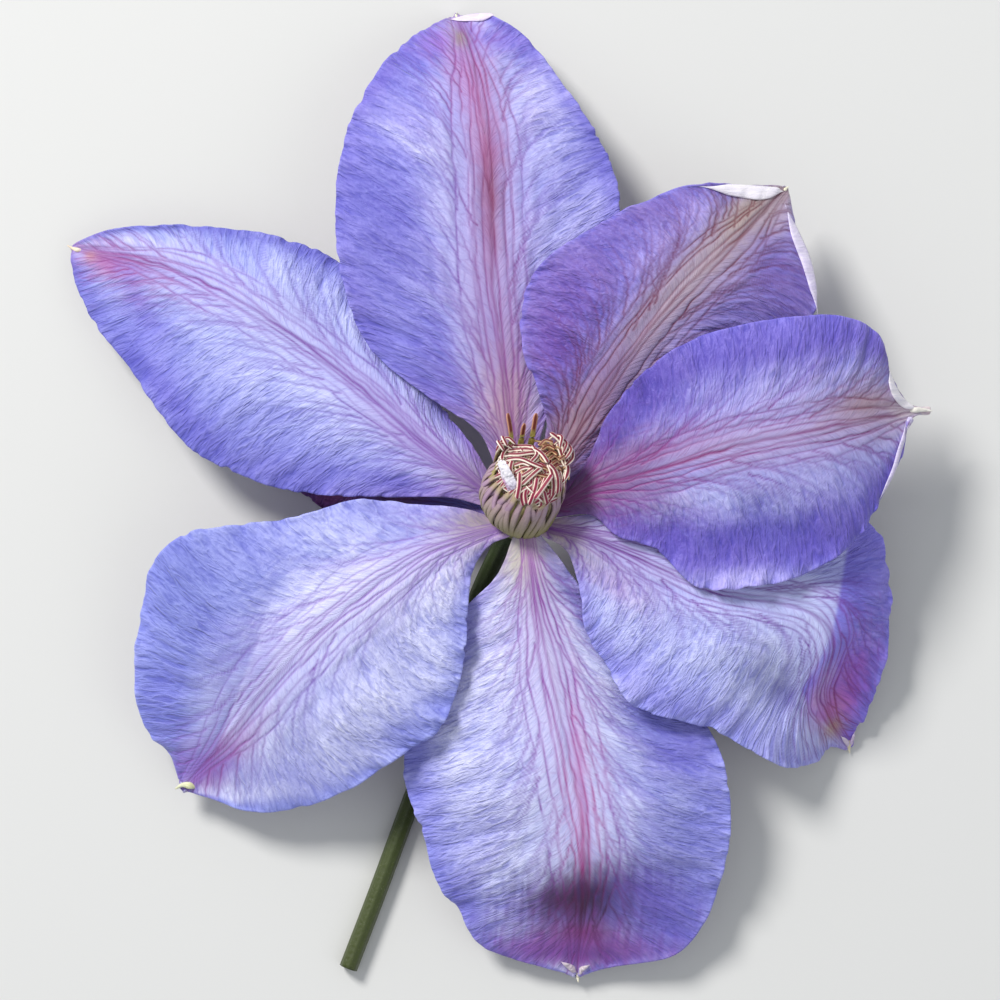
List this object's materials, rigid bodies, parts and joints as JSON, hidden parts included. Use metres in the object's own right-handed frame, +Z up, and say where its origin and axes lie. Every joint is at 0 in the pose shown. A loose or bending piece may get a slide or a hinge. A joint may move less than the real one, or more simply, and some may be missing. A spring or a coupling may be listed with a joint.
{
  "type": "clematis flower",
  "caption": "Single large-flowered clematis bloom with wavy overlapping tepals, a curled boss of stamens and a cut stalk, lying face up on a flat surface.",
  "frame": {"origin": "on the surface that the flower lies on, under the middle of the box round the whole flower", "axes": "+Z up out of the face of the flower, +Y towards the tip of the top tepal, +X to the right as seen from above; the stalk runs along the surface towards -Y"},
  "size_m": [0.144, 0.163, 0.0324],
  "materials": {
    "tepal_lavender": "soft, finely wrinkled petal",
    "tepal_violet": "soft, finely wrinkled petal",
    "stamen": "matt",
    "petaloid": "soft",
    "carpel": "silky hairs",
    "stalk_green": "matt, finely hairy"
  },
  "bodies": {
    "root": {"tepal_top": "tepal_lavender", "tepal_upper_right": "tepal_violet", "tepal_right": "tepal_lavender", "tepal_lower_right": "tepal_lavender", "tepal_bottom": "tepal_lavender", "tepal_lower_left": "tepal_lavender", "tepal_left": "tepal_lavender", "tepal_back_left": "tepal_violet", "stamens": "stamen", "petaloid_stamen": "petaloid", "carpels": "carpel", "stalk": "stalk_green"}
  },
  "joints": []
}
